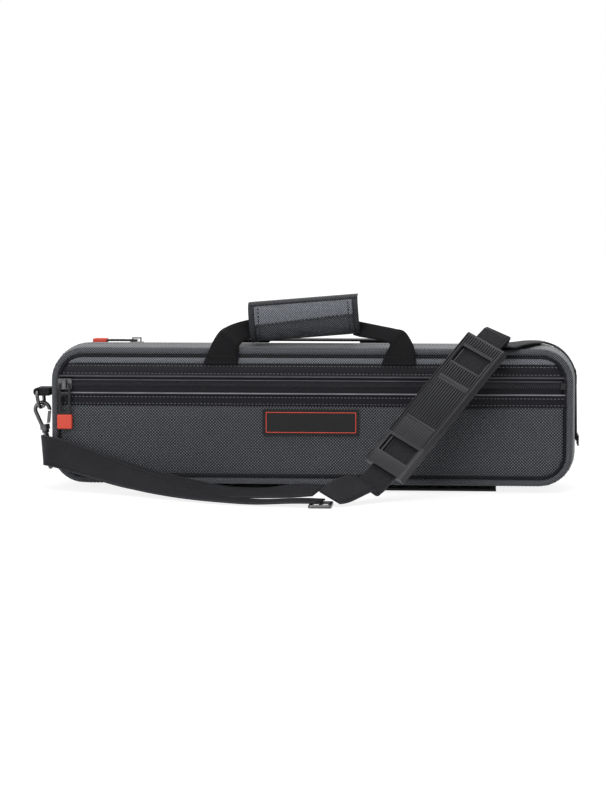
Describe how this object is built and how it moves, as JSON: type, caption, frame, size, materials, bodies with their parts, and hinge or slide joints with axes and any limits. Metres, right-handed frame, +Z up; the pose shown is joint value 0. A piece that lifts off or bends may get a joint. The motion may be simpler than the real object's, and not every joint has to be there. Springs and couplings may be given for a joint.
{
  "type": "flute case",
  "caption": "Soft flute case with a zipped, fabric-hinged lid, front zip pocket, padded webbing handle and a shoulder strap on a snap hook.",
  "frame": {"origin": "middle of the wear strip's underside, on the surface the case stands on", "axes": "+X along the case towards the end the strap is sewn to, +Y from the pocket side to the lid side, +Z up"},
  "size_m": [0.4761, 0.2077, 0.1703],
  "materials": {
    "charcoal_fabric": "woven, matt",
    "ribbed_fabric": "fine woven, matt",
    "smooth_fabric": "smooth, matt",
    "binding": "woven tape, matt",
    "zip_tape": "satin weave",
    "zip_coil": "satin",
    "black_rubber": "moulded, satin",
    "red_rubber": "soft, matt",
    "webbing": "ribbed weave",
    "pad_rubber": "moulded, satin",
    "gunmetal": "dark plated, glossy",
    "black_metal": "satin black",
    "foam": "closed-cell foam",
    "plush": "short pile",
    "board": "stiff sheet"
  },
  "bodies": {
    "case": {"front_board": "board", "front_binding": "binding", "front_top_strip": "ribbed_fabric", "pocket_panel": "charcoal_fabric", "pocket_tape_upper": "zip_tape", "pocket_tape_lower": "zip_tape", "pocket_coil_upper": "zip_coil", "pocket_coil_lower": "zip_coil", "pocket_zip_stop": "black_metal", "name_plate": "black_rubber", "gusset": "smooth_fabric", "foam_shell": "foam", "lining": "plush", "flute_insert": "plush", "main_coil_case": "zip_coil", "main_tape_case": "zip_tape", "main_zip_stops": "black_metal", "wear_strip": "black_rubber", "hinge_tape": "webbing", "handle_feet": "webbing", "rear_loop_feet": "webbing", "ring_tab": "webbing", "d_ring": "gunmetal", "hook_eye": "gunmetal", "strap_lower_run": "webbing", "strap_return_layer": "webbing", "strap_upper_run": "webbing", "strap_adjuster": "gunmetal", "strap_anchor": "black_rubber"},
    "lid": {"lid_board": "board", "lid_panel": "charcoal_fabric", "rear_binding": "binding", "lid_foam_rim": "smooth_fabric", "lid_foam_core": "foam", "lid_pad": "plush", "main_tape_lid": "zip_tape", "main_coil_lid": "zip_coil"},
    "handle": {"handle_webbing": "webbing", "handle_wrap": "charcoal_fabric"},
    "rear_loop": {"rear_loop": "webbing"},
    "top_slider": {"top_slider": "gunmetal"},
    "top_pull": {"top_pull_frame": "black_metal", "top_pull_end": "red_rubber"},
    "side_slider": {"side_slider": "gunmetal"},
    "side_pull": {"side_pull_frame": "black_metal", "side_pull_end": "red_rubber"},
    "pocket_slider": {"pocket_slider": "gunmetal"},
    "pocket_pull": {"pocket_pull_frame": "black_metal", "pocket_pull_end": "red_rubber"},
    "hook": {"snap_hook": "gunmetal"},
    "hook_gate": {"hook_gate": "gunmetal"},
    "shoulder_pad": {"shoulder_pad": "pad_rubber"}
  },
  "joints": [
    {"name": "lid_hinge", "type": "hinge", "parent": "case", "child": "lid", "pos_m": [0, 0.042, 0.0051], "axis": [-1, 0, 0], "range_deg": [0, 90]},
    {"name": "handle_swing", "type": "hinge", "parent": "case", "child": "handle", "pos_m": [0, -0.04395, 0.12245], "axis": [1, 0, 0], "range_deg": [0, 75]},
    {"name": "rear_loop_swing", "type": "hinge", "parent": "case", "child": "rear_loop", "pos_m": [0, 0.021, 0.12785], "axis": [-1, 0, 0], "range_deg": [0, 80]},
    {"name": "top_slider_travel", "type": "slide", "parent": "case", "child": "top_slider", "axis": [1, 0, 0], "range_m": [-0.03, 0.35]},
    {"name": "top_pull_swing", "type": "hinge", "parent": "top_slider", "child": "top_pull", "pos_m": [-0.1605, 0.029, 0.12655], "axis": [0, 1, 0], "range_deg": [0, 160]},
    {"name": "side_slider_travel", "type": "slide", "parent": "case", "child": "side_slider", "axis": [0, 0, 1], "range_m": [-0.05, 0]},
    {"name": "side_pull_swing", "type": "hinge", "parent": "side_slider", "child": "side_pull", "pos_m": [0.22805, 0.029, 0.0935], "axis": [0, -1, 0], "range_deg": [0, 150]},
    {"name": "pocket_slider_travel", "type": "slide", "parent": "case", "child": "pocket_slider", "axis": [1, 0, 0], "range_m": [0, 0.42]},
    {"name": "pocket_pull_swing", "type": "hinge", "parent": "pocket_slider", "child": "pocket_pull", "pos_m": [-0.21255, -0.04665, 0.09205], "axis": [-1, 0, 0], "range_deg": [0, 120]},
    {"name": "hook_swivel", "type": "hinge", "parent": "case", "child": "hook", "pos_m": [-0.23484, -0.022, 0.05506], "axis": [-0.1392, 0, 0.9903], "range_deg": [-15, 15]},
    {"name": "gate_swing", "type": "hinge", "parent": "hook", "child": "hook_gate", "pos_m": [-0.2315, -0.022, 0.05714], "axis": [0, -1, 0], "range_deg": [0, 25], "stiffness_Nm_per_rad": 0.02, "springref_deg": -28.65},
    {"name": "pad_slide", "type": "slide", "parent": "case", "child": "shoulder_pad", "axis": [0.6009, 0.32, 0.7325], "range_m": [-0.005, 0.002]}
  ]
}
